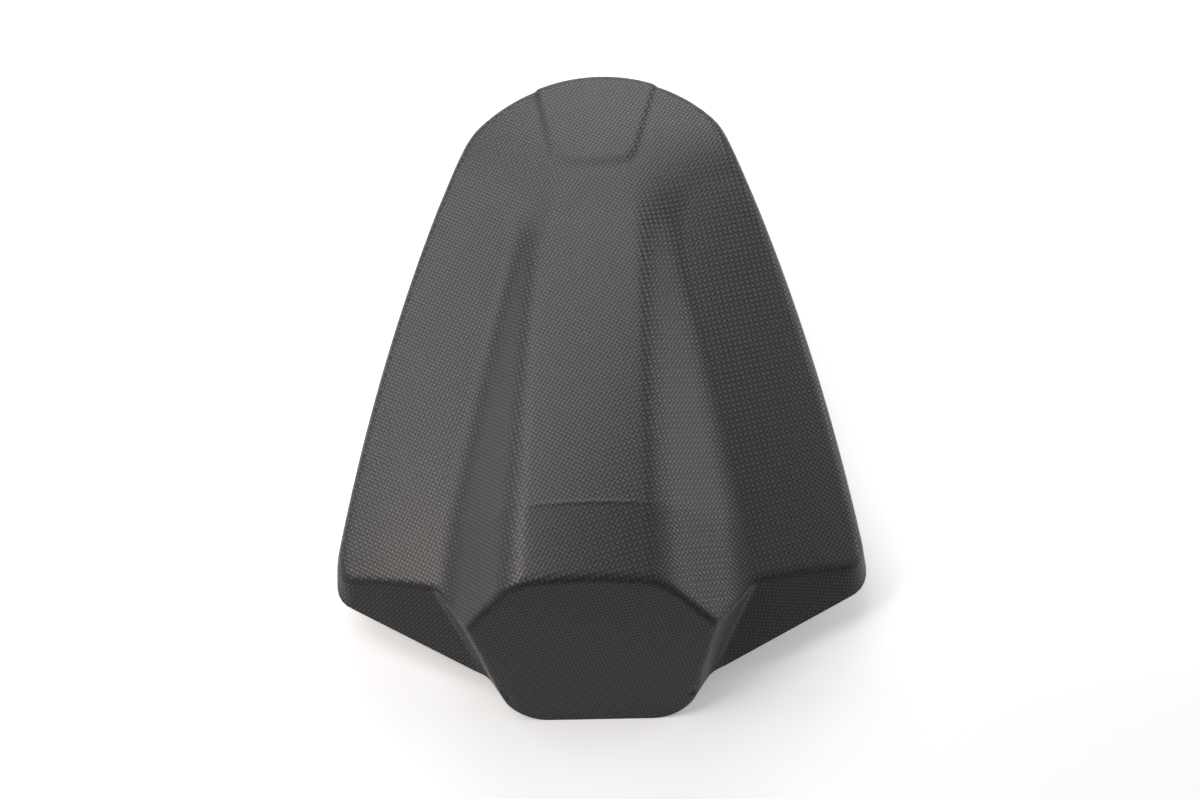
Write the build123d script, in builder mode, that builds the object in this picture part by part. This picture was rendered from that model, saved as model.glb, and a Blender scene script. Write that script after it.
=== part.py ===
# Pillion seat cowl of a motorbike: one moulded carbon fibre shell with a faceted hump,
# and the tongue, latch bracket and striker that hold it to the tail of the machine.
# X runs across, the chin faces -Y, the tail faces +Y, and Z is up.
# "Back" in a name is a distance behind the lower front edge of the chin.

import os
from math import asin, atan2, cos, radians, sin, sqrt, tan

from build123d import *

# Size of the shell in millimetres: width across the square shoulders, overall length, wall
WIDTH = 235.0
LENGTH = 298.0
WALL = 2.0

# Lengthwise profile of the hump: a long falling arc behind the crest, a brow in front of it
CREST_BACK = 74.0
CREST_HEIGHT = 67.75
TOP_RADIUS = 875.0
BROW_ANGLE = 16.8
CREST_BLEND = 3.0

# Lengthwise arch of the two wings, and the crown that all upper faces share
SPINE_BACK = 230.0
SPINE_HEIGHT = 51.0
SPINE_RADIUS = 1780.0
SPINE_BLEND = 2.0
CROWN_RADIUS = 300.0

# Cross-section of the hump: flat top, sloping side facets, soft edge and soft foot
CREST_HALF_WIDTH = 28.7
TAIL_HALF_WIDTH = 20.5
BROW_SPREAD = 0.244
SPREAD_BLEND = 1.0
FACET_ANGLE = 38.5
FADE_WIDTH = 10.0
FADE_BLEND = 6.0
EDGE_BLEND = 9.0
FOOT_BLEND = 12.0
BLEND_EASE = 3.0

# Six-sided front face, the chin walls beside it and the skirts below the wings
FACE_ANGLE = 53.5
FACE_HALF_WIDTH = 33.5
CHIN_SPLAY = 41.1
CHIN_DRAFT = 9.4
SKIRT_SWEEP = 25.4
SKIRT_ANGLE = 54.8
SKIRT_INNER = 66.0
SKIRT_BACK = 46.4
SKIRT_HEIGHT = 35.0

# Plan outline
SHOULDER_BACK = 48.0
SIDE_BULGE = 5.8
HIP_BACK = 268.0
HIP_HALF_WIDTH = 60.2
HIP_RADIUS = 38.0

# Rounded edges of the shell
CORNER_RADIUS = 9.0
CREASE_RADIUS = 8.0
CHIN_RADIUS = 6.0
RIM_RADIUS = 4.5

# Lower rim: chin foot with rounded corners, raised front rim, tail rim
FOOT_DEPTH = 2.0
FOOT_HALF_WIDTH = 20.0
FOOT_CORNER_RADIUS = 50.0
RIM_FRONT_BACK = 20.0
RIM_FRONT_HEIGHT = 10.2
RIM_SHOULDER_HEIGHT = 12.0
RIM_TAIL_BACK = 235.0
RIM_BEND_RADIUS = 12.0

# Raised pad over the tail
PAD_RISE = 1.2
PAD_BACK = 250.0
PAD_FRONT_HALF_WIDTH = 18.0
PAD_TAIL_HALF_WIDTH = 29.0
PAD_CORNER_RADIUS = 7.0

# Fixings inside the shell
BOND_GAP = 0.3
LATCH_BACK = 172.0
BRACKET_HEIGHT = 40.0
BRACKET_LENGTH = 78.0
BRACKET_WIDTH = 54.0
BRACKET_GAUGE = 3.0
BRACKET_CORNER_RADIUS = 10.0
BOSS_PITCH = 50.0
BOSS_BASE_DIAMETER = 30.0
BOSS_BASE_DEPTH = 5.0
BOSS_DIAMETER = 17.0
INSERT_DIAMETER = 9.0
INSERT_LENGTH = 10.0
SCREW_DIAMETER = 6.0
SCREW_CLEARANCE = 0.6
SCREW_HEAD_DIAMETER = 10.5
SCREW_HEAD_HEIGHT = 3.3
SCREW_SOCKET = 4.0
SCREW_SOCKET_DEPTH = 2.0
SCREW_TIP_ROOM = 2.0
STRIKER_DIAMETER = 8.0
STRIKER_SPAN = 26.0
STRIKER_BEND_RADIUS = 9.0
STRIKER_BAR_HEIGHT = 15.0
STRIKER_COLLAR_DIAMETER = 13.0
STRIKER_COLLAR_HEIGHT = 3.0
STRIKER_TIP = 2.0
STRIKER_CLEARANCE = 0.5
NUT_FLATS = 13.0
NUT_HEIGHT = 6.5
TONGUE_WIDTH = 46.0
TONGUE_LOW = 14.0
TONGUE_HIGH = 42.0
TONGUE_GAUGE = 4.0
TONGUE_REACH = 24.0
TONGUE_CORNER_RADIUS = 8.0
TONGUE_ROOT_RADIUS = 5.0

# Working values
FRONT = -LENGTH / 2
MARGIN = 10.0
SECTIONS = 25
SETTLING_STEPS = 40
ON_PLANE = 0.001
SOLID_BASE = -20.0
SOLID_TOP = 100.0


def blend_down(a, b, reach):
    """The smaller of two heights, rounded over where they lie within reach of each other."""
    near = max(reach - abs(a - b), 0.0) / reach
    return min(a, b) - near**2 * reach / 4


def blend_up(a, b, reach):
    return -blend_down(-a, -b, reach)


def arch(run, height, radius):
    """Height of a circular arch at a distance from its top."""
    return height - radius + sqrt(radius**2 - run**2)


def top_height(back):
    run = back - CREST_BACK
    brow = CREST_HEIGHT + run * tan(radians(BROW_ANGLE))
    return blend_down(arch(run, CREST_HEIGHT, TOP_RADIUS), brow, CREST_BLEND)


def spine_height(back):
    spine = arch(back - SPINE_BACK, SPINE_HEIGHT, SPINE_RADIUS)
    return blend_down(spine, top_height(back), SPINE_BLEND)


def wing_height(x, back):
    return arch(x, spine_height(back), CROWN_RADIUS)


def hump_corners(back):
    """Upper edge and foot of the hump's side facet in the section at this distance."""
    run = back - CREST_BACK
    narrowing = (CREST_HALF_WIDTH - TAIL_HALF_WIDTH) / (LENGTH - CREST_BACK)
    edge_x = CREST_HALF_WIDTH + blend_up(-narrowing * run, -BROW_SPREAD * run, SPREAD_BLEND)
    edge_z = arch(edge_x, top_height(back), CROWN_RADIUS)
    foot_x = edge_x + FADE_WIDTH
    for _ in range(SETTLING_STEPS):
        fall = edge_z - wing_height(foot_x, back)
        foot_x = edge_x + blend_up(FADE_WIDTH, fall / tan(radians(FACET_ANGLE)), FADE_BLEND)
    return Vector(edge_x, edge_z), Vector(foot_x, wing_height(foot_x, back))


def inset_corner(corner, slope_in, slope_out, inset):
    """Corner of two sloping lines after both move inwards by the inset."""
    middle = (slope_in + slope_out) / 2
    depth = inset / cos(middle - slope_in)
    return corner - Vector(sin(middle), cos(middle)) * depth


def upper_section(back, inset):
    """Closed section of wings and hump across the shell, moved inwards by the inset."""
    edge, foot = hump_corners(back)
    facet = atan2(edge.Y - foot.Y, foot.X - edge.X)
    edge_slope = asin(edge.X / CROWN_RADIUS)
    foot_slope = asin(foot.X / CROWN_RADIUS)
    edge = inset_corner(edge, edge_slope, facet, inset)
    foot = inset_corner(foot, facet, foot_slope, inset)
    run = (foot - edge).length
    edge_soft = EDGE_BLEND * run / (run + BLEND_EASE * EDGE_BLEND)
    foot_soft = FOOT_BLEND * run / (run + BLEND_EASE * FOOT_BLEND)
    down = (foot - edge).normalized()
    crown = CROWN_RADIUS - inset
    reach = WIDTH / 2 + 2 * MARGIN

    def on_top(x):
        return Vector(x, arch(x, top_height(back) - inset, crown))

    def on_wing(x):
        return Vector(x, arch(x, spine_height(back) - inset, crown))

    top_end = on_top(edge.X - edge_soft * cos(edge_slope))
    wing_start = on_wing(foot.X + foot_soft * cos(foot_slope))
    wing_end = on_wing(reach)
    with BuildSketch(Plane.XZ.offset(-FRONT - back)) as sketch:
        with BuildLine():
            soft_edge = Bezier(top_end, edge, edge + down * edge_soft)
            soft_foot = Bezier(foot - down * foot_soft, foot, wing_start)
            side = [
                soft_edge,
                Line(soft_edge @ 1, soft_foot @ 0),
                soft_foot,
                ThreePointArc(wing_start, on_wing((wing_start.X + reach) / 2), wing_end),
                Line(wing_end, (reach, SOLID_BASE)),
            ]
            mirror(side, about=Plane.YZ)
            ThreePointArc((-top_end.X, top_end.Y), on_top(0), top_end)
            Line((-reach, SOLID_BASE), (reach, SOLID_BASE))
        make_face()
    return sketch.sketch


def front_plane(x, back, height, sweep, angle, inset):
    """Plane through a point, facing forwards: sweep turns it outwards, angle is its slope."""
    turn = radians(sweep)
    lean = radians(angle)
    normal = Vector(sin(turn) * sin(lean), -cos(turn) * sin(lean), cos(lean))
    point = Vector(x, FRONT + back, height) - normal * inset
    return Plane(point, x_dir=(cos(turn), sin(turn), 0), z_dir=normal)


def face_plane(inset):
    return front_plane(0, 0, 0, 0, FACE_ANGLE, inset)


def chin_planes(inset):
    right = front_plane(FACE_HALF_WIDTH, 0, 0, 90 - CHIN_SPLAY, 90 - CHIN_DRAFT, inset)
    left = front_plane(-FACE_HALF_WIDTH, 0, 0, CHIN_SPLAY - 90, 90 - CHIN_DRAFT, inset)
    return right, left


def skirt_planes(inset):
    right = front_plane(SKIRT_INNER, SKIRT_BACK, SKIRT_HEIGHT, SKIRT_SWEEP, SKIRT_ANGLE, inset)
    left = front_plane(-SKIRT_INNER, SKIRT_BACK, SKIRT_HEIGHT, -SKIRT_SWEEP, SKIRT_ANGLE, inset)
    return right, left


def lies_on(edge, plane):
    points = (edge @ 0, edge @ 0.5, edge @ 1)
    return all(abs((point - plane.origin).dot(plane.z_dir)) < ON_PLANE for point in points)


def envelope(inset):
    """Upright body with the plan outline of the shell and its faceted front."""
    shoulder = Vector(WIDTH / 2, FRONT + SHOULDER_BACK)
    hip = Vector(HIP_HALF_WIDTH, FRONT + HIP_BACK)
    chord = (shoulder - hip).normalized()
    bulge = (shoulder + hip) / 2 + Vector(-chord.Y, chord.X) * SIDE_BULGE
    with BuildPart() as winged:
        with BuildSketch(Plane.XY.offset(SOLID_BASE)) as plan:
            with BuildLine():
                side = ThreePointArc(hip, bulge, shoulder)
                ahead = Line(shoulder, shoulder + (side % 1) * (SHOULDER_BACK + 2 * MARGIN))
                mirror([side, ahead], about=Plane.YZ)
                Line(ahead @ 1, (-(ahead @ 1).X, (ahead @ 1).Y))
                ThreePointArc(hip, (0, -FRONT - PAD_RISE), (-hip.X, hip.Y))
            make_face()
            fillet(plan.vertices().group_by(Axis.Y)[-1], HIP_RADIUS)
            offset(amount=-inset, mode=Mode.REPLACE)
        extrude(amount=SOLID_TOP - SOLID_BASE)
        for plane in skirt_planes(inset):
            split(bisect_by=plane, keep=Keep.BOTTOM)
    with BuildPart() as chin:
        with BuildSketch(Plane.XY.offset(SOLID_BASE)):
            with Locations((0, FRONT + SHOULDER_BACK)):
                Rectangle(2 * SKIRT_INNER + MARGIN, 2 * SHOULDER_BACK + 2 * MARGIN)
        extrude(amount=SOLID_TOP - SOLID_BASE)
        for plane in chin_planes(inset):
            split(bisect_by=plane, keep=Keep.BOTTOM)
    with BuildPart() as whole:
        add(winged.part)
        add(chin.part)
        split(bisect_by=face_plane(inset), keep=Keep.BOTTOM)
        for skirt, wall in zip(skirt_planes(inset), chin_planes(inset)):
            crease = [e for e in whole.edges() if lies_on(e, skirt) and lies_on(e, wall)]
            fillet(crease, CREASE_RADIUS + inset)
            ridge = [e for e in whole.edges() if lies_on(e, face_plane(inset)) and lies_on(e, wall)]
            fillet(ridge, CHIN_RADIUS - inset)
            outer = [e for e in whole.edges().filter_by(GeomType.ELLIPSE) if lies_on(e, skirt)]
            fillet(outer, CORNER_RADIUS - inset)
    return whole.part


def upper_form(inset):
    """Solid below the wings and hump, longer and wider than the shell."""
    step = (LENGTH + 2 * MARGIN) / (SECTIONS - 1)
    with BuildPart() as form:
        loft(sections=[upper_section(i * step - MARGIN, inset) for i in range(SECTIONS)])
    return form.part


def cowl_form(inset):
    """Solid bounded by the shell's outer surface, moved inwards by the inset."""
    with BuildPart() as form:
        add(upper_form(inset))
        add(envelope(inset), mode=Mode.INTERSECT)
        tail_edge = form.edges().sort_by_distance((0, -FRONT, top_height(LENGTH)))[0]
        fillet(tail_edge, RIM_RADIUS - inset)
    return form.part


def below_rim():
    """Everything under the lower rim, to be cut away."""
    with BuildPart() as waste:
        with BuildSketch(Plane.YZ.offset(-WIDTH)):
            with BuildLine():
                rim = FilletPolyline(
                    (FRONT + FOOT_DEPTH, 0),
                    (FRONT + RIM_FRONT_BACK, RIM_FRONT_HEIGHT),
                    (FRONT + SHOULDER_BACK, RIM_SHOULDER_HEIGHT),
                    (FRONT + RIM_TAIL_BACK, 0),
                    (-FRONT + MARGIN, 0),
                    radius=RIM_BEND_RADIUS,
                )
                Polyline(
                    rim @ 1,
                    (-FRONT + MARGIN, 2 * SOLID_BASE),
                    (FRONT - 2 * MARGIN, 2 * SOLID_BASE),
                    (FRONT - 2 * MARGIN, 0),
                    rim @ 0,
                )
            make_face()
        extrude(amount=2 * WIDTH)
        drop = FOOT_CORNER_RADIUS - RIM_FRONT_HEIGHT
        corner_end = FOOT_HALF_WIDTH + sqrt(FOOT_CORNER_RADIUS**2 - drop**2)
        with BuildSketch(Plane.XZ.offset(-FRONT - RIM_FRONT_BACK)):
            with BuildLine():
                Line((FOOT_HALF_WIDTH, SOLID_BASE), (FOOT_HALF_WIDTH, 0))
                RadiusArc((FOOT_HALF_WIDTH, 0), (corner_end, RIM_FRONT_HEIGHT), -FOOT_CORNER_RADIUS)
                Polyline(
                    (corner_end, RIM_FRONT_HEIGHT),
                    (SKIRT_INNER, RIM_FRONT_HEIGHT),
                    (SKIRT_INNER, SOLID_BASE),
                    (FOOT_HALF_WIDTH, SOLID_BASE),
                )
            make_face()
            mirror(about=Plane.YZ)
        extrude(amount=RIM_FRONT_BACK + MARGIN)
    return waste.part


outer_form = cowl_form(0)
inner_form = cowl_form(WALL)
bond_form = upper_form(WALL + BOND_GAP)
rim_waste = below_rim()

# Raised pad: the outer surface lifted by the pad's rise, inside a tapering outline
with BuildPart() as tail_pad:
    with BuildSketch(Plane.XY):
        with BuildLine():
            Polyline(
                (-PAD_FRONT_HALF_WIDTH, FRONT + PAD_BACK),
                (PAD_FRONT_HALF_WIDTH, FRONT + PAD_BACK),
                (PAD_TAIL_HALF_WIDTH, -FRONT + MARGIN),
                (-PAD_TAIL_HALF_WIDTH, -FRONT + MARGIN),
                close=True,
            )
        outline = make_face()
        fillet(outline.vertices().group_by(Axis.Y)[0], PAD_CORNER_RADIUS)
    extrude(amount=SOLID_TOP)
    add(cowl_form(-PAD_RISE), mode=Mode.INTERSECT)

# The shell: one carbon fibre moulding, open below
with BuildPart() as cowl_shell:
    add(outer_form)
    add(tail_pad.part)
    add(inner_form, mode=Mode.SUBTRACT)
    add(rim_waste, mode=Mode.SUBTRACT)

# Front tongue: bonded behind the front face, hooks under the machine's cross tube
tongue_seat = WALL + BOND_GAP
tongue_slope = radians(FACE_ANGLE)


def tongue_back(height):
    """Where the bonded face of the tongue lies at a height."""
    return FRONT + height / tan(tongue_slope) + tongue_seat / sin(tongue_slope)


with BuildPart() as front_tongue:
    with BuildSketch(Plane.YZ.offset(-TONGUE_WIDTH / 2)):
        with BuildLine():
            slant = TONGUE_GAUGE / sin(tongue_slope)
            toe = TONGUE_LOW + TONGUE_GAUGE
            tip = tongue_back(toe) + slant + TONGUE_REACH
            Polyline(
                (tongue_back(TONGUE_LOW), TONGUE_LOW),
                (tongue_back(TONGUE_HIGH), TONGUE_HIGH),
                (tongue_back(TONGUE_HIGH) + slant, TONGUE_HIGH),
                (tongue_back(toe) + slant, toe),
                (tip, toe),
                (tip, TONGUE_LOW),
                close=True,
            )
        make_face()
    extrude(amount=TONGUE_WIDTH)
    root = front_tongue.edges().filter_by(Axis.X).sort_by_distance((0, tongue_back(toe) + slant, toe))[0]
    fillet(root, TONGUE_ROOT_RADIUS)
    tips = front_tongue.edges().filter_by(Axis.Z).group_by(Axis.Y)[-1]
    fillet(tips, TONGUE_CORNER_RADIUS)

# Mounting bosses: bonded inside the top of the hump, one in front of the latch and one behind
boss_places = [(0, FRONT + LATCH_BACK - BOSS_PITCH / 2), (0, FRONT + LATCH_BACK + BOSS_PITCH / 2)]
screw_room = INSERT_LENGTH + SCREW_TIP_ROOM
with BuildPart() as mounting_bosses:
    for place, side in zip(boss_places, (-1, 1)):
        base = top_height(LATCH_BACK + side * BOSS_PITCH / 2) - WALL - BOSS_BASE_DEPTH
        with BuildSketch(Plane.XY.offset(BRACKET_HEIGHT)):
            with Locations(place):
                Circle(BOSS_DIAMETER / 2)
        extrude(amount=SOLID_TOP - BRACKET_HEIGHT)
        with BuildSketch(Plane.XY.offset(base)):
            with Locations(place):
                Circle(BOSS_BASE_DIAMETER / 2)
        extrude(amount=SOLID_TOP - base)
    add(bond_form, mode=Mode.INTERSECT)
    with BuildSketch(Plane.XY.offset(BRACKET_HEIGHT)):
        with Locations(boss_places):
            Circle(INSERT_DIAMETER / 2)
    extrude(amount=INSERT_LENGTH, mode=Mode.SUBTRACT)
    with BuildSketch(Plane.XY.offset(BRACKET_HEIGHT)):
        with Locations(boss_places):
            Circle((SCREW_DIAMETER + SCREW_CLEARANCE) / 2)
    extrude(amount=screw_room, mode=Mode.SUBTRACT)

# Threaded inserts: brass sleeves moulded into the bosses
with BuildPart() as threaded_inserts:
    with BuildSketch(Plane.XY.offset(BRACKET_HEIGHT)):
        with Locations(boss_places):
            Circle(INSERT_DIAMETER / 2)
            Circle(SCREW_DIAMETER / 2, mode=Mode.SUBTRACT)
    extrude(amount=INSERT_LENGTH)

# Latch bracket: a flat steel plate across the bosses
bracket_floor = BRACKET_HEIGHT - BRACKET_GAUGE
leg_places = [(-STRIKER_SPAN / 2, FRONT + LATCH_BACK), (STRIKER_SPAN / 2, FRONT + LATCH_BACK)]
with BuildPart() as latch_bracket:
    with BuildSketch(Plane.XY.offset(bracket_floor)):
        with Locations((0, FRONT + LATCH_BACK)):
            RectangleRounded(BRACKET_WIDTH, BRACKET_LENGTH, BRACKET_CORNER_RADIUS)
        with Locations(boss_places):
            Circle((SCREW_DIAMETER + SCREW_CLEARANCE) / 2, mode=Mode.SUBTRACT)
        with Locations(leg_places):
            Circle((STRIKER_DIAMETER + STRIKER_CLEARANCE) / 2, mode=Mode.SUBTRACT)
    extrude(amount=BRACKET_GAUGE)

# Latch striker: a bent steel loop with a welded collar under the bracket on each leg
leg_top = BRACKET_HEIGHT + NUT_HEIGHT + STRIKER_TIP
with BuildPart() as latch_striker:
    with BuildLine(Plane.XZ.offset(-FRONT - LATCH_BACK)) as loop:
        FilletPolyline(
            (-STRIKER_SPAN / 2, leg_top),
            (-STRIKER_SPAN / 2, STRIKER_BAR_HEIGHT),
            (STRIKER_SPAN / 2, STRIKER_BAR_HEIGHT),
            (STRIKER_SPAN / 2, leg_top),
            radius=STRIKER_BEND_RADIUS,
        )
    with BuildSketch(Plane(loop.line @ 0, z_dir=loop.line % 0)):
        Circle(STRIKER_DIAMETER / 2)
    sweep(path=loop.line)
    with BuildSketch(Plane.XY.offset(bracket_floor)):
        with Locations(leg_places):
            Circle(STRIKER_COLLAR_DIAMETER / 2)
    extrude(amount=-STRIKER_COLLAR_HEIGHT)

# Striker nuts: one on each leg, above the bracket
with BuildPart() as striker_nuts:
    with BuildSketch(Plane.XY.offset(BRACKET_HEIGHT)):
        with Locations(leg_places):
            RegularPolygon(NUT_FLATS / 2, 6, major_radius=False)
            Circle(STRIKER_DIAMETER / 2, mode=Mode.SUBTRACT)
    extrude(amount=NUT_HEIGHT)

# Bracket screws: button heads below the bracket, shanks up into the inserts
with BuildPart() as bracket_screws:
    with BuildSketch(Plane.XY.offset(bracket_floor)):
        with Locations(boss_places):
            Circle(SCREW_DIAMETER / 2)
    extrude(amount=BRACKET_GAUGE + INSERT_LENGTH)
    with BuildSketch(Plane.XY.offset(bracket_floor)):
        with Locations(boss_places):
            Circle(SCREW_HEAD_DIAMETER / 2)
    extrude(amount=-SCREW_HEAD_HEIGHT)
    heads = bracket_screws.edges().filter_by(GeomType.CIRCLE).group_by(Axis.Z)[0]
    fillet(heads, SCREW_HEAD_HEIGHT / 2)
    with BuildSketch(Plane.XY.offset(bracket_floor - SCREW_HEAD_HEIGHT)):
        with Locations(boss_places):
            RegularPolygon(SCREW_SOCKET / 2, 6, major_radius=False)
    extrude(amount=SCREW_SOCKET_DEPTH, mode=Mode.SUBTRACT)

pieces = {
    "cowl_shell": cowl_shell,
    "front_tongue": front_tongue,
    "mounting_bosses": mounting_bosses,
    "threaded_inserts": threaded_inserts,
    "latch_bracket": latch_bracket,
    "latch_striker": latch_striker,
    "striker_nuts": striker_nuts,
    "bracket_screws": bracket_screws,
}
os.makedirs("parts", exist_ok=True)
for name, piece in pieces.items():
    piece.part.label = name
    export_step(piece.part, f"parts/{name}.step")
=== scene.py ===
import math

import bpy
import numpy as np
from mathutils import Matrix, Vector


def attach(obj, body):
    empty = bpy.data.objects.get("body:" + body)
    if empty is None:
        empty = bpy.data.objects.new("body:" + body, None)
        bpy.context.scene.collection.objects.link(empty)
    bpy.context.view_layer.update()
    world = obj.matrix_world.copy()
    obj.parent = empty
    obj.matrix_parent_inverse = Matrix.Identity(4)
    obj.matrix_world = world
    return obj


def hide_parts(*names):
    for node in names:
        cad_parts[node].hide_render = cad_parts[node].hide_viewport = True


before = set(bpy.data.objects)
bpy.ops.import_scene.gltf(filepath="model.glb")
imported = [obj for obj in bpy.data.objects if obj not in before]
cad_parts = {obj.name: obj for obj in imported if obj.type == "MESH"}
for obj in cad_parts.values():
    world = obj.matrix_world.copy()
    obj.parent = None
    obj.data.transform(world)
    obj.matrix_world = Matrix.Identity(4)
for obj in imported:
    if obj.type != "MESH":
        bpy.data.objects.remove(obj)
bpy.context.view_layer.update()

MM = 0.001

# Form of the cowl in millimetres, a little wider and higher than the solid
# "Back" is a distance behind the lower front edge of the chin
LENGTH = 298.0
WIDTH = 241.2
WALL = 2.0
FRONT = -LENGTH / 2
CREST_BACK = 75.2
CREST_BOW = 0.5
CREST_HEIGHT = 71.2
CREST_BLEND = 0.25
CREST_RIDGE = 0.22
CREST_RIDGE_WIDTH = 1.0
TOP_RADIUS = 1000.0
BROW_ANGLE = math.radians(5.0)
SPINE_BACK = 260.0
SPINE_HEIGHT = 56.6
SPINE_RADIUS = 1770.0
SPINE_BLEND = 4.0
CROWN_RADIUS = 322.0
CROWN_FRONT_RADIUS = 190.0
CROWN_FADE = 120.0
CREST_HALF_WIDTH = 31.6
TAIL_HALF_WIDTH = 21.4
FACET_ANGLE = math.radians(42.7)
FADE_WIDTH = 8.0
FADE_BLEND = 5.0
EDGE_BLEND = 5.5
FOOT_BLEND = 5.0
FACE_ANGLE = 58.1
FACE_HALF_WIDTH = 37.5
CHIN_SPLAY = 34.7
CHIN_DRAFT = 2.8
SKIRT_SWEEP = 23.4
SKIRT_ANGLE = 50.9
SKIRT_POINT = (66.0, 47.2, 34.5)
SHOULDER = (WIDTH / 2, 48.7)
HIP = (59.1, 268.0)
SIDE_BULGE = 6.2
HIP_BLEND = 2.0
FOLD_BLEND = 1.4
CORNER_BLEND = 11.0
OUTLINE_BLEND = 4.0
CREASE_BLEND = 1.3
RIDGE_BLEND = 1.3
RIDGE_FOOT_BLEND = 1.0
RIDGE_HEIGHT = 45.0

# Raised pad over the tail
PAD_RISE = 0.7
PAD_BACK = 246.5
PAD_FRONT_HALF_WIDTH = 18.1
PAD_TAIL_HALF_WIDTH = 29.6
PAD_BLEND = 7.0
PAD_RAMP = 2.6

# Lower rim: chin foot that sweeps up to a raised front rim, tail rim
RIM_BACKS = (0.0, 2.0, 20.0, 48.7, 235.0, LENGTH)
RIM_HEIGHTS = (0.0, 0.0, 9.4, 14.5, 0.0, 0.0)
FOOT_HALF_WIDTH = 22.6
RIM_FRONT_HALF_WIDTH = 51.0

# Grid of the shell's mesh, traced by rays from an axis under the cowl
AXIS_Y = 10.0
AXIS_Z = -15.0
OUTER_ROWS = 301
OUTER_COLUMNS = 241
END_DENSITY = 6.0
END_REACH = 7.0
CREST_REACH = 5.0
TIP_SHARE = 0.5
DENSE_ROWS = 600
DENSE_COLUMNS = 140
RAY_NEAR = 8.0
RAY_FAR = 230.0
RAY_STEPS = 11
RIM_STEPS = 22
ROW_REACH = math.radians(85.0)
SETTLING_STEPS = 8
SLOPE_STEP = 0.3
SHARP_ANGLE = math.radians(45.0)

# Bonding paste between the shell and the pieces that it carries
PASTE_SINK = 1.0
PASTE_RADIUS = 14.0
PASTE_DEPTH = 7.5
PASTE_SIDES = 48
BOSS_BACKS = (147.0, 197.0)
TONGUE_ANGLE = 53.5
TONGUE_SEAT = 3.8
TONGUE_HALF_WIDTH = 21.0
TONGUE_HEIGHTS = (16.0, 40.0)

# Cloth: the tows that lie over get a lighter colour as painted sheen, and the gaps between tows a
# darker colour as painted shade
TOW_PITCH = 1.65
CLOTH_TURN = math.radians(60.0)
FACE_CLOTH_TURN = math.radians(15.0)
CLOTH_STEPS = 25
TOW_DARK = (0.033, 0.0335, 0.034, 1.0)
TOW_PAINTED_SHEEN = (0.048, 0.049, 0.050, 1.0)
TOW_GAP_PAINTED_SHADE = (0.016, 0.0165, 0.017, 1.0)
TOW_EDGE = 0.10

# Floor in metres: its glow is weaker in front of the cowl
FLOOR_HALF = 4.0
FLOOR_COLOR = (0.86, 0.86, 0.86, 1.0)
GLOW_DEPTHS = (-0.15, -0.03)
GLOW_LEVELS = (0.30, 0.54)

# Camera: millimetres and degrees
CAMERA_TARGET = (1.551, -9.322, 30.0)
CAMERA_TURN = 13.897
CAMERA_RISE = 66.69
CAMERA_ROLL = -14.647
CAMERA_DISTANCE = 1066.4
CAMERA_SENSOR = 36.0
CAMERA_LENS = 71.03

# Light
WORLD_COLOR = (0.95, 0.98, 1.0, 1.0)
WORLD_STRENGTH = 0.15


def blend_down(a, b, reach):
    """The smaller of two values, rounded over where they lie within reach of each other."""
    near = np.maximum(reach - np.abs(a - b), 0.0) / reach
    return np.minimum(a, b) - near**2 * reach / 4


def blend_up(a, b, reach):
    return -blend_down(-a, -b, reach)


def arch(run, height, radius):
    """Height of a circular arch at a distance from its top."""
    return height - radius + np.sqrt(np.maximum(radius**2 - run**2, 0.0))


def top_height(x, back):
    middle = np.maximum(1.0 - (x / CREST_HALF_WIDTH) ** 2, 0.0)
    run = back - CREST_BACK
    ahead = run - CREST_BOW * middle
    brow = CREST_HEIGHT + ahead * math.tan(BROW_ANGLE)
    ridge = CREST_RIDGE * np.sqrt(middle) * np.exp(-((ahead / CREST_RIDGE_WIDTH) ** 2))
    return blend_down(arch(run, CREST_HEIGHT, TOP_RADIUS), brow, CREST_BLEND) + ridge


def hump_crown(back):
    """Radius across the top of the hump, rounder at the crest and the brow."""
    share = np.clip((back - CREST_BACK) / CROWN_FADE, 0.0, 1.0)
    share = share**2 * (3.0 - 2.0 * share)
    return 1.0 / ((1.0 - share) / CROWN_FRONT_RADIUS + share / CROWN_RADIUS)


def hump_section(back):
    """Upper edge of the hump's side facet, its height and fall, the wings' height and the crown."""
    run = back - CREST_BACK
    narrowing = (CREST_HALF_WIDTH - TAIL_HALF_WIDTH) / (LENGTH - CREST_BACK)
    edge = CREST_HALF_WIDTH - narrowing * run
    side_top = top_height(edge, back)
    spine = blend_down(arch(back - SPINE_BACK, SPINE_HEIGHT, SPINE_RADIUS), side_top, SPINE_BLEND)
    crown = hump_crown(back)
    edge_height = arch(edge, side_top, crown)
    foot = edge + FADE_WIDTH
    for _ in range(SETTLING_STEPS):
        fall = edge_height - arch(foot, spine, CROWN_RADIUS)
        foot = edge + blend_up(FADE_WIDTH, fall / math.tan(FACET_ANGLE), FADE_BLEND)
    slope = (edge_height - arch(foot, spine, CROWN_RADIUS)) / (foot - edge)
    return edge, edge_height, slope, spine, crown


def upper_height(x, back, section):
    """Height of wings and hump above the plane that the cowl stands on."""
    edge, edge_height, slope, spine, crown = section
    hump = arch(x, top_height(x, back), crown)
    hump = blend_down(hump, edge_height - slope * (x - edge), EDGE_BLEND)
    return blend_up(hump, arch(x, spine, CROWN_RADIUS), FOOT_BLEND)


def plane_distance(x, back, z, point, sweep, angle):
    """Distance in front of a plane: sweep turns it outwards, angle is its slope."""
    turn = math.radians(sweep)
    lean = math.radians(angle)
    ahead = (x - point[0]) * math.sin(turn) - (back - point[1]) * math.cos(turn)
    return ahead * math.sin(lean) + (z - point[2]) * math.cos(lean)


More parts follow.
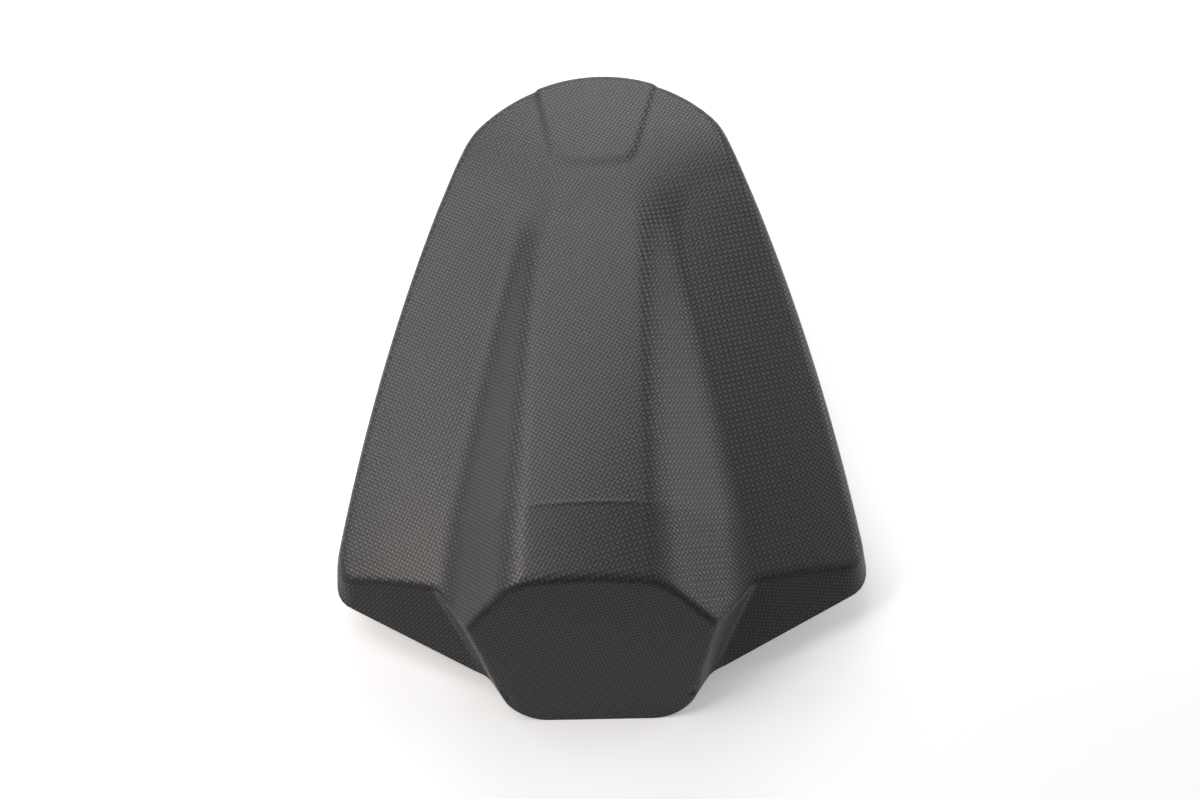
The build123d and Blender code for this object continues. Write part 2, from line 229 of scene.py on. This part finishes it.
def circle_through(a, b, c):
    """Centre and radius of the circle through three points."""
    rows = np.array([[b[0] - a[0], b[1] - a[1]], [c[0] - a[0], c[1] - a[1]]])
    squares = [(p[0] ** 2 + p[1] ** 2 - a[0] ** 2 - a[1] ** 2) / 2 for p in (b, c)]
    centre = np.linalg.solve(rows, squares)
    return centre[0], centre[1], math.hypot(centre[0] - a[0], centre[1] - a[1])


def side_circle():
    chord = Vector(SHOULDER) - Vector(HIP)
    outwards = Vector((chord.y, -chord.x)).normalized()
    if outwards.x < 0:
        outwards = -outwards
    bulge = (Vector(SHOULDER) + Vector(HIP)) / 2 + outwards * SIDE_BULGE
    return circle_through(SHOULDER, bulge, HIP)


SIDE_CIRCLE = side_circle()
TAIL_CIRCLE = circle_through((-HIP[0], HIP[1]), (0.0, LENGTH - PAD_RISE), HIP)
TAIL_TURN = math.atan2(HIP[0], HIP[1] - TAIL_CIRCLE[1])


def pad_lift(x, back):
    """How far the pad over the tail lifts the surface."""
    spread = (PAD_TAIL_HALF_WIDTH - PAD_FRONT_HALF_WIDTH) / (LENGTH - PAD_BACK)
    beside = (x - PAD_FRONT_HALF_WIDTH - spread * (back - PAD_BACK)) / math.hypot(1.0, spread)
    beyond = blend_up(beside, PAD_BACK - back, PAD_BLEND)
    share = np.clip(0.5 - beyond / PAD_RAMP, 0.0, 1.0)
    return PAD_RISE * share**2 * (3.0 - 2.0 * share)


def boundaries(x, y, z):
    """Distances outside each face of the form, by name."""
    back = y - FRONT
    x = np.abs(x)
    run = back - TAIL_CIRCLE[1]
    turn = np.minimum(np.arctan2(x, run), TAIL_TURN)
    section = hump_section(back)
    height = upper_height(x, back, section)
    across = (upper_height(x + SLOPE_STEP, back, section) - height) / SLOPE_STEP
    ahead = back - SLOPE_STEP
    along = (height - upper_height(x, ahead, hump_section(ahead))) / SLOPE_STEP
    chin_corner = (FACE_HALF_WIDTH, 0.0, 0.0)
    return {
        "face": plane_distance(x, back, z, (0.0, 0.0, 0.0), 0.0, FACE_ANGLE),
        "wall": plane_distance(x, back, z, chin_corner, 90 - CHIN_SPLAY, 90 - CHIN_DRAFT),
        "skirt": plane_distance(x, back, z, SKIRT_POINT, SKIRT_SWEEP, SKIRT_ANGLE),
        "side": np.hypot(x - SIDE_CIRCLE[0], back - SIDE_CIRCLE[1]) - SIDE_CIRCLE[2],
        "tail": x * np.sin(turn) + run * np.cos(turn) - TAIL_CIRCLE[2],
        "upper": (z - height) / np.sqrt(1.0 + across**2 + along**2),
    }


def outside(x, y, z):
    """Distance outside the shell's outer surface, negative inside."""
    d = boundaries(x, y, z)
    low = np.clip(1.0 - z / RIDGE_HEIGHT, 0.0, 1.0)
    ridge = RIDGE_BLEND + RIDGE_FOOT_BLEND * low**2
    front = blend_up(d["face"], blend_down(d["wall"], d["skirt"], CREASE_BLEND), ridge)
    outline = blend_up(d["side"], d["tail"], HIP_BLEND)
    around = blend_up(front, outline, CORNER_BLEND)
    share = np.clip(0.5 + (outline - front) / CORNER_BLEND, 0.0, 1.0)
    fold = FOLD_BLEND + (OUTLINE_BLEND - FOLD_BLEND) * share
    return blend_up(around, d["upper"], fold) - pad_lift(np.abs(x), y - FRONT)


def rim_height(x, y):
    """Height of the trimmed lower rim."""
    back = y - FRONT
    half = (RIM_FRONT_HALF_WIDTH - FOOT_HALF_WIDTH) / 2
    rise = RIM_HEIGHTS[2]
    radius = half**2 / rise + rise / 4
    run = np.clip(np.abs(x) - FOOT_HALF_WIDTH, 0.0, 2 * half)
    sweep_out = radius - np.sqrt(radius**2 - np.minimum(run, half) ** 2)
    sweep_level = rise - radius + np.sqrt(radius**2 - np.minimum(2 * half - run, half) ** 2)
    sweep = np.where(run < half, sweep_out, sweep_level)
    line = np.interp(back, RIM_BACKS, RIM_HEIGHTS)
    return np.maximum(line, np.where(back < RIM_BACKS[2], sweep, 0.0))


def on_ray(row, column, reach):
    """Point at a distance from the middle of the axis: row turns round it, column leans along it."""
    flat = reach * np.cos(column)
    return reach * np.sin(column), AXIS_Y + flat * np.cos(row), AXIS_Z + flat * np.sin(row)


def hit(row, column, inset):
    """Where the rays meet the shell's surface, moved inwards by the inset."""
    near = np.full(np.shape(row), RAY_NEAR)
    far = np.full(np.shape(row), RAY_FAR)
    depth = outside(*on_ray(row, column, near)) + inset
    rise = outside(*on_ray(row, column, far)) + inset
    for _ in range(RAY_STEPS):
        guess = (near * rise - far * depth) / (rise - depth)
        value = outside(*on_ray(row, column, guess)) + inset
        inside = value < 0
        rise = np.where(inside, rise / 2, value)
        depth = np.where(inside, value, depth / 2)
        near = np.where(inside, guess, near)
        far = np.where(inside, far, guess)
    return np.stack(on_ray(row, column, guess), axis=-1)


def above_rim(row, column, inset):
    points = hit(row, column, inset)
    return points[..., 2] - rim_height(points[..., 0], points[..., 1])


def rim_crossing(low, high, test):
    """Angles between low and high where the test stops being positive."""
    for _ in range(RIM_STEPS):
        middle = (low + high) / 2
        positive = test(middle) > 0
        low = np.where(positive, middle, low)
        high = np.where(positive, high, middle)
    return low


def step_lengths(points):
    return np.linalg.norm(np.diff(points, axis=0), axis=1)


def spaced(angles, points, steps, count, extra):
    """Angles that share out the steps along a line of points, closer at its ends and at the crest."""
    run = np.concatenate([[0.0], np.cumsum(steps)])
    ends = np.exp(-run / END_REACH) + np.exp((run - run[-1]) / END_REACH)
    crest = np.exp(-(((points[:, 1] - FRONT - CREST_BACK) / CREST_REACH) ** 2))
    density = 1.0 + extra * (ends + crest)
    share = np.concatenate([[0.0], np.cumsum((density[1:] + density[:-1]) / 2 * steps)])
    return np.interp(np.linspace(0.0, share[-1], count), share, angles)


def row_limits(rows, inset):
    """How far each row reaches before it meets the rim."""
    reach = np.full(len(rows), ROW_REACH)
    return rim_crossing(np.zeros(len(rows)), reach, lambda a: above_rim(rows, a, inset))


def shell_grid(inset, rows, columns):
    """Rows of points over the shell from the tail rim to the chin, each from rim to rim."""
    middle = np.array([math.pi / 2, math.pi / 2])
    ends = rim_crossing(middle, np.array([0.0, math.pi]), lambda a: above_rim(a, np.zeros(2), inset))
    dense = np.linspace(ends[0], ends[1], DENSE_ROWS)
    tips = hit(dense, row_limits(dense, inset), inset)
    middles = hit(dense, np.zeros_like(dense), inset)
    steps = step_lengths(middles) + TIP_SHARE * step_lengths(tips)
    row_angles = spaced(dense, middles, steps, rows, END_DENSITY)
    limits = row_limits(row_angles, inset)
    share = np.linspace(0.0, 1.0, DENSE_COLUMNS)
    half = (columns + 1) // 2
    dense = limits[:, None] * share
    traced = hit(np.repeat(row_angles[:, None], DENSE_COLUMNS, axis=1), dense, inset)
    pairs = zip(dense, traced)
    angles = np.stack([spaced(turns, line, step_lengths(line), half, 0.0) for turns, line in pairs])
    right = hit(np.repeat(row_angles[:, None], half, axis=1), angles, inset)
    left = right[:, :0:-1] * (-1.0, 1.0, 1.0)
    return np.concatenate([left, right], axis=1)


def grid_faces(rows, columns, first, flip):
    """Quads of a grid whose points start at an index."""
    index = first + np.arange(rows * columns).reshape(rows, columns)
    corners = (index[:-1, :-1], index[:-1, 1:], index[1:, 1:], index[1:, :-1])
    if flip:
        corners = corners[::-1]
    return np.stack(corners, axis=-1).reshape(-1, 4)


def grid_border(rows, columns, first):
    """Indices round the edge of a grid, in order."""
    index = first + np.arange(rows * columns).reshape(rows, columns)
    return np.concatenate([index[0], index[1:, -1], index[-1, -2::-1], index[-2:0:-1, 0]])


def rim_faces(points, outer, inner):
    """Triangles between the outer and the inner edge of the rim, each along its shorter diagonal."""
    faces = []
    i = j = 0
    while i < len(outer) or j < len(inner):
        a, b = outer[i % len(outer)], outer[(i + 1) % len(outer)]
        d, e = inner[j % len(inner)], inner[(j + 1) % len(inner)]
        shorter = np.linalg.norm(points[b] - points[d]) <= np.linalg.norm(points[e] - points[a])
        if j == len(inner) or (i < len(outer) and shorter):
            faces.append([b, a, d])
            i += 1
        else:
            faces.append([e, a, d])
            j += 1
    return faces


def cloth_maps(points):
    """Cloth coordinates in millimetres for each face of the form, by name."""
    x, y, z = points.T
    back = y - FRONT
    side = np.sign(x)
    steps = np.linspace(0.0, 1.0, CLOTH_STEPS)
    section = [value[:, None] for value in hump_section(back)]
    heights = upper_height(np.abs(x)[:, None] * steps, back[:, None], section)
    runs = np.hypot(np.diff(heights, axis=1), np.abs(x)[:, None] * np.diff(steps))
    lean = math.radians(FACE_ANGLE)
    turn = math.radians(SKIRT_SWEEP) * side
    skirt_lean = math.radians(SKIRT_ANGLE)
    splay = math.radians(90 - CHIN_SPLAY) * side
    ahead = x * np.sin(turn) - back * np.cos(turn)
    up_face = back * math.cos(lean) + z * math.sin(lean)
    twist = FACE_CLOTH_TURN - CLOTH_TURN
    return {
        "upper": np.stack([side * runs.sum(axis=1), back], axis=-1),
        "face": np.stack([x * math.cos(twist) + up_face * math.sin(twist),
                          up_face * math.cos(twist) - x * math.sin(twist)], axis=-1),
        "skirt": np.stack([x * np.cos(turn) + back * np.sin(turn),
                           z * math.sin(skirt_lean) - ahead * math.cos(skirt_lean)], axis=-1),
        "wall": np.stack([x * np.cos(splay) + back * np.sin(splay), z], axis=-1),
        "side": np.stack([back, z], axis=-1),
        "tail": np.stack([np.arctan2(x, back - TAIL_CIRCLE[1]) * TAIL_CIRCLE[2], z], axis=-1),
    }


def face_names(points):
    """Which face of the form each point lies on."""
    d = boundaries(*points.T)
    names = ["face", "wall", "skirt", "side", "tail", "upper"]
    hollow = np.minimum(d["wall"], d["skirt"])
    rank = np.stack([
        d["face"],
        np.where(d["wall"] <= d["skirt"], hollow, -np.inf),
        np.where(d["skirt"] < d["wall"], hollow, -np.inf),
        d["side"],
        d["tail"],
        d["upper"],
    ])
    return names, rank.argmax(axis=0)


def make_shell():
    """The moulded shell: outer surface, inner surface and trimmed rim in one closed mesh."""
    inner_rows = (OUTER_ROWS + 1) // 2
    inner_columns = (OUTER_COLUMNS + 1) // 2
    outer = shell_grid(0.0, OUTER_ROWS, OUTER_COLUMNS).reshape(-1, 3)
    inner = shell_grid(WALL, inner_rows, inner_columns).reshape(-1, 3)
    points = np.concatenate([outer, inner])
    faces = np.concatenate([
        grid_faces(OUTER_ROWS, OUTER_COLUMNS, 0, False),
        grid_faces(inner_rows, inner_columns, len(outer), True),
    ]).tolist()
    outer_rim = grid_border(OUTER_ROWS, OUTER_COLUMNS, 0)
    inner_rim = grid_border(inner_rows, inner_columns, len(outer))
    faces += rim_faces(points, outer_rim.tolist(), inner_rim.tolist())

    mesh = bpy.data.meshes.new("cowl_shell_skin")
    mesh.from_pydata((points * MM).tolist(), [], faces)
    maps = cloth_maps(points)
    names, kinds = face_names(points)
    stacked = np.stack([maps[name] for name in names])
    loops = np.empty(len(mesh.loops), dtype=np.int64)
    mesh.loops.foreach_get("vertex_index", loops)
    starts = np.empty(len(mesh.polygons), dtype=np.int64)
    totals = np.empty(len(mesh.polygons), dtype=np.int64)
    mesh.polygons.foreach_get("loop_start", starts)
    mesh.polygons.foreach_get("loop_total", totals)
    kind_of_loop = np.repeat(kinds[loops[starts]], totals)
    flat = stacked[kind_of_loop, loops]
    turned = np.stack([
        flat[:, 0] * math.cos(CLOTH_TURN) + flat[:, 1] * math.sin(CLOTH_TURN),
        flat[:, 1] * math.cos(CLOTH_TURN) - flat[:, 0] * math.sin(CLOTH_TURN),
    ], axis=-1) / TOW_PITCH
    layer = mesh.uv_layers.new(name="cloth")
    layer.data.foreach_set("uv", turned.astype(np.float32).ravel())
    mesh.polygons.foreach_set("use_smooth", np.ones(len(mesh.polygons), dtype=bool))
    mesh.set_sharp_from_angle(angle=SHARP_ANGLE)
    mesh.update()
    shell = bpy.data.objects.new("cowl_shell_skin", mesh)
    bpy.context.scene.collection.objects.link(shell)
    return shell


def slope_back(height, angle, inset):
    """How far back a face that leans from the chin's lower edge lies at a height."""
    lean = math.radians(angle)
    return height / math.tan(lean) + inset / math.sin(lean)


def prism(points, faces, lower, upper):
    """Adds a closed prism between two rings of points."""
    first = len(points)
    count = len(lower)
    points += lower + upper
    faces.append([first + i for i in reversed(range(count))])
    faces.append([first + count + i for i in range(count)])
    for i in range(count):
        j = (i + 1) % count
        faces.append([first + i, first + j, first + count + j, first + count + i])


def make_paste():
    """Paste that fills between the shell and the feet of the bosses and the back of the tongue."""
    points = []
    faces = []
    for boss in BOSS_BACKS:
        turns = [2 * math.pi * i / PASTE_SIDES for i in range(PASTE_SIDES)]
        ring = [(PASTE_RADIUS * math.cos(t), boss + PASTE_RADIUS * math.sin(t)) for t in turns]
        tops = [float(upper_height(abs(x), b, hump_section(b))) - PASTE_SINK for x, b in ring]
        upper = [(x, FRONT + b, z) for (x, b), z in zip(ring, tops)]
        prism(points, faces, [(x, y, z - PASTE_DEPTH) for x, y, z in upper], upper)
    rings = []
    for height in TONGUE_HEIGHTS:
        ahead = FRONT + slope_back(height, FACE_ANGLE, PASTE_SINK)
        behind = FRONT + slope_back(height, TONGUE_ANGLE, TONGUE_SEAT)
        corners = [(-1, ahead), (1, ahead), (1, behind), (-1, behind)]
        rings.append([(side * TONGUE_HALF_WIDTH, y, height) for side, y in corners])
    prism(points, faces, *rings)
    mesh = bpy.data.meshes.new("bonding_paste")
    mesh.from_pydata([(x * MM, y * MM, z * MM) for x, y, z in points], [], faces)
    mesh.polygons.foreach_set("use_smooth", np.ones(len(mesh.polygons), dtype=bool))
    mesh.set_sharp_from_angle(angle=SHARP_ANGLE)
    paste = bpy.data.objects.new("bonding_paste", mesh)
    bpy.context.scene.collection.objects.link(paste)
    return paste


class Nodes:
    """Short way to write a material's node tree."""

    def __init__(self, name):
        self.material = bpy.data.materials.new(name)
        self.material.use_nodes = True
        self.tree = self.material.node_tree
        self.shader = self.tree.nodes["Principled BSDF"]

    def add(self, kind, settings=None, **inputs):
        node = self.tree.nodes.new(kind)
        for key, value in (settings or {}).items():
            setattr(node, key, value)
        for key, value in inputs.items():
            self.feed(node.inputs[key.replace("_", " ")], value)
        return node

    def feed(self, socket, value):
        if isinstance(value, bpy.types.NodeSocket):
            self.tree.links.new(value, socket)
        else:
            socket.default_value = value

    def math(self, operation, *values):
        node = self.tree.nodes.new("ShaderNodeMath")
        node.operation = operation
        for socket, value in zip(node.inputs, values):
            self.feed(socket, value)
        return node.outputs[0]

    def span(self, value, low, high, to_low, to_high):
        node = self.add("ShaderNodeMapRange", {"interpolation_type": "SMOOTHSTEP"}, Value=value,
                        From_Min=low, From_Max=high, To_Min=to_low, To_Max=to_high)
        return node.outputs[0]

    def mix(self, share, a, b):
        node = self.add("ShaderNodeMix", {"data_type": "RGBA"})
        self.feed(node.inputs[0], share)
        self.feed(node.inputs[6], a)
        self.feed(node.inputs[7], b)
        return node.outputs[2]

    def set(self, **values):
        for key, value in values.items():
            self.feed(self.shader.inputs[key.replace("_", " ")], value)


def carbon_material():
    """Plain-weave carbon cloth under a satin resin: each tow shines across its own fibres. The colour
    also holds painted light: the tows that lie over are painted lighter as painted sheen, and the
    gaps between tows darker as painted shade.
    """
    n = Nodes("carbon")
    uv = n.add("ShaderNodeUVMap", {"uv_map": "cloth"}).outputs[0]
    parts = n.add("ShaderNodeSeparateXYZ", Vector=uv)
    wave_u = n.math("SINE", n.math("MULTIPLY", parts.outputs[0], math.pi))
    wave_v = n.math("SINE", n.math("MULTIPLY", parts.outputs[1], math.pi))
    tall_u = n.math("ABSOLUTE", wave_u)
    tall_v = n.math("ABSOLUTE", wave_v)
    over = n.span(n.math("MULTIPLY", wave_u, wave_v), -TOW_EDGE, TOW_EDGE, 0.0, 1.0)
    along_u = n.math("MULTIPLY", n.math("POWER", tall_v, 1.2), n.math("POWER", tall_u, 0.5))
    along_v = n.math("MULTIPLY", n.math("POWER", tall_u, 1.2), n.math("POWER", tall_v, 0.5))
    height = n.math("ADD", n.math("MULTIPLY", along_u, over),
                    n.math("MULTIPLY", along_v, n.math("SUBTRACT", 1.0, over)))
    drift = n.add("ShaderNodeTexNoise", Vector=uv, Scale=0.06, Detail=2.0).outputs[0]
    # painted sheen: the tows that lie over get a lighter colour than the tows under them
    tow = n.mix(over, TOW_DARK, TOW_PAINTED_SHEEN)
    # painted shade: the colour darkens towards the gaps between tows, where the weave is low
    shaded = n.mix(n.span(height, 0.0, 0.7, 0.0, 1.0), TOW_GAP_PAINTED_SHADE, tow)
    n.set(Base_Color=shaded, IOR=1.5)
    n.set(Specular_IOR_Level=n.span(height, 0.1, 0.8, 0.40, 0.60))
    satin = n.span(height, 0.0, 1.0, 0.42, 0.34)
    n.set(Roughness=n.math("ADD", satin, n.math("MULTIPLY", drift, 0.04)))
    across = n.math("MULTIPLY", over, 0.25)
    fibres = n.add("ShaderNodeTangent", {"direction_type": "UV_MAP", "uv_map": "cloth"}).outputs[0]
    n.set(Anisotropic=0.6, Anisotropic_Rotation=across, Tangent=fibres)
    n.set(Normal=n.add("ShaderNodeBump", Strength=0.32, Distance=0.0002, Height=height).outputs[0])
    return n.material


def moulded_material():
    """Black glass-filled nylon with a fine moulded grain."""
    n = Nodes("nylon")
    place = n.add("ShaderNodeTexCoord").outputs["Object"]
    grain = n.add("ShaderNodeTexNoise", Vector=place, Scale=1800.0, Detail=3.0).outputs[0]
    patch = n.add("ShaderNodeTexNoise", Vector=place, Scale=60.0, Detail=2.0).outputs[0]
    n.set(Base_Color=n.mix(patch, (0.018, 0.018, 0.019, 1.0), (0.030, 0.030, 0.032, 1.0)))
    n.set(Roughness=n.span(grain, 0.3, 0.7, 0.55, 0.72))
    n.set(Normal=n.add("ShaderNodeBump", Strength=0.25, Distance=0.0001, Height=grain).outputs[0])
    return n.material


def paste_material():
    """Dark grey structural adhesive, slightly uneven."""
    n = Nodes("bonding_paste")
    place = n.add("ShaderNodeTexCoord").outputs["Object"]
    lumps = n.add("ShaderNodeTexNoise", Vector=place, Scale=260.0, Detail=2.0).outputs[0]
    n.set(Base_Color=n.mix(lumps, (0.030, 0.030, 0.031, 1.0), (0.052, 0.052, 0.054, 1.0)))
    n.set(Roughness=n.span(lumps, 0.3, 0.7, 0.42, 0.62))
    n.set(Normal=n.add("ShaderNodeBump", Strength=0.3, Distance=0.0006, Height=lumps).outputs[0])
    return n.material


def coated_material():
    """Black powder coat on steel plate."""
    n = Nodes("bracket_coat")
    place = n.add("ShaderNodeTexCoord").outputs["Object"]
    orange = n.add("ShaderNodeTexNoise", Vector=place, Scale=900.0, Detail=1.0).outputs[0]
    n.set(Base_Color=n.mix(orange, (0.022, 0.022, 0.024, 1.0), (0.032, 0.032, 0.034, 1.0)))
    n.set(Roughness=n.span(orange, 0.3, 0.7, 0.34, 0.46))
    n.set(Normal=n.add("ShaderNodeBump", Strength=0.2, Distance=0.0001, Height=orange).outputs[0])
    return n.material


def metal_material(name, dark, light, rough_low, rough_high):
    """Plated or turned metal with faint drawing lines and stains."""
    n = Nodes(name)
    place = n.add("ShaderNodeTexCoord").outputs["Object"]
    stretched = n.add("ShaderNodeMapping", Vector=place, Scale=(900.0, 900.0, 60.0)).outputs[0]
    lines = n.add("ShaderNodeTexNoise", Vector=stretched, Scale=1.0, Detail=2.0).outputs[0]
    stain = n.add("ShaderNodeTexNoise", Vector=place, Scale=120.0, Detail=3.0).outputs[0]
    n.set(Base_Color=n.mix(stain, dark, light), Metallic=1.0)
    n.set(Roughness=n.span(lines, 0.25, 0.75, rough_low, rough_high))
    n.set(Normal=n.add("ShaderNodeBump", Strength=0.08, Distance=0.0001, Height=lines).outputs[0])
    return n.material


def dress(node, material):
    """Gives a solid's own object a finished material."""
    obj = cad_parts[node]
    obj.data.materials.clear()
    obj.data.materials.append(material)


def add_area(name, direction, distance, size, power, color):
    """A soft rectangular lamp that looks at the cowl from a direction."""
    lamp = bpy.data.lights.new(name, "AREA")
    lamp.shape = "RECTANGLE"
    lamp.size, lamp.size_y = size
    lamp.energy = power
    lamp.color = color
    obj = bpy.data.objects.new(name, lamp)
    towards = Vector(direction).normalized()
    obj.location = towards * distance
    obj.rotation_euler = towards.to_track_quat("Z", "Y").to_euler()
    bpy.context.scene.collection.objects.link(obj)


def add_floor():
    """Pale floor, white where the light falls and grey in the cowl's shadow."""
    mesh = bpy.data.meshes.new("floor")
    corners = [(x * FLOOR_HALF, y * FLOOR_HALF, 0.0) for x, y in ((-1, -1), (1, -1), (1, 1), (-1, 1))]
    mesh.from_pydata(corners, [], [(0, 1, 2, 3)])
    floor = bpy.data.objects.new("floor", mesh)
    bpy.context.scene.collection.objects.link(floor)
    n = Nodes("floor_white")
    n.set(Base_Color=FLOOR_COLOR, Roughness=0.9, Specular_IOR_Level=0.1)
    path = n.add("ShaderNodeLightPath")
    seen = n.math("MAXIMUM", path.outputs["Is Camera Ray"], path.outputs["Is Glossy Ray"])
    place = n.add("ShaderNodeTexCoord").outputs["Object"]
    depth = n.add("ShaderNodeSeparateXYZ", Vector=place).outputs[1]
    glow = n.span(depth, *GLOW_DEPTHS, *GLOW_LEVELS)
    n.set(Emission_Color=(1.0, 1.0, 1.0, 1.0), Emission_Strength=n.math("MULTIPLY", seen, glow))
    mesh.materials.append(n.material)


def add_camera():
    """Camera at the photograph's viewpoint."""
    target = Vector(CAMERA_TARGET) * MM
    turn = math.radians(CAMERA_TURN)
    rise = math.radians(CAMERA_RISE)
    roll = math.radians(CAMERA_ROLL)
    flat = math.cos(rise)
    outwards = Vector((flat * math.sin(turn), -flat * math.cos(turn), math.sin(rise)))
    place = target + outwards * CAMERA_DISTANCE * MM
    ahead = (target - place).normalized()
    right = ahead.cross(Vector((0.0, 0.0, 1.0))).normalized()
    up = right.cross(ahead)
    rolled = right * math.cos(roll) + up * math.sin(roll)
    axes = Matrix((rolled, rolled.cross(ahead), -ahead)).transposed()
    data = bpy.data.cameras.new("camera")
    data.sensor_width = CAMERA_SENSOR
    data.lens = CAMERA_LENS
    data.clip_start = 0.01
    camera = bpy.data.objects.new("camera", data)
    camera.matrix_world = Matrix.Translation(place) @ axes.to_4x4()
    bpy.context.scene.collection.objects.link(camera)
    bpy.context.scene.camera = camera


def add_light():
    """Dim even surroundings and soft lamps to the left, above, behind and to the right."""
    world = bpy.data.worlds.new("studio")
    world.use_nodes = True
    background = world.node_tree.nodes["Background"]
    background.inputs["Color"].default_value = WORLD_COLOR
    background.inputs["Strength"].default_value = WORLD_STRENGTH
    bpy.context.scene.world = world
    add_area("left_softbox", (-0.59, 0.38, 0.71), 1.6, (1.0, 1.0), 10.2, (0.97, 0.99, 1.0))
    add_area("warm_panel", (-0.62, -0.15, 0.77), 0.75, (0.22, 0.22), 1.45, (1.0, 0.84, 0.75))
    add_area("top_panel", (-0.05, 0.5, 0.86), 1.6, (0.8, 0.8), 4.9, (0.93, 0.97, 1.0))
    add_area("back_strip", (0.0, 0.87, 0.48), 1.6, (1.2, 0.6), 10.4, (0.93, 0.97, 1.0))
    add_area("right_card", (0.93, 0.35, 0.2), 1.5, (0.8, 0.5), 4.2, (0.95, 0.99, 1.0))
    add_area("left_card", (-0.95, 0.3, 0.12), 1.5, (0.8, 0.4), 1.0, (0.94, 1.0, 0.97))
    add_area("right_panel", (0.72, 0.42, 0.55), 1.5, (0.5, 0.5), 2.5, (0.95, 0.98, 1.0))


shell = make_shell()
shell.data.materials.append(carbon_material())
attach(shell, "root")
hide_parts("cowl_shell")

paste = make_paste()
paste.data.materials.append(paste_material())
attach(paste, "root")

nylon = moulded_material()
zinc = metal_material("zinc_steel", (0.50, 0.51, 0.52, 1.0), (0.66, 0.67, 0.68, 1.0), 0.28, 0.42)
brass = metal_material("insert_brass", (0.60, 0.44, 0.20, 1.0), (0.76, 0.58, 0.30, 1.0), 0.26, 0.40)
dress("front_tongue", nylon)
dress("mounting_bosses", nylon)
dress("threaded_inserts", brass)
dress("latch_bracket", coated_material())
dress("latch_striker", zinc)
dress("striker_nuts", zinc)
dress("bracket_screws", zinc)

add_floor()
add_light()
add_camera()
bpy.context.scene.view_settings.view_transform = "Standard"
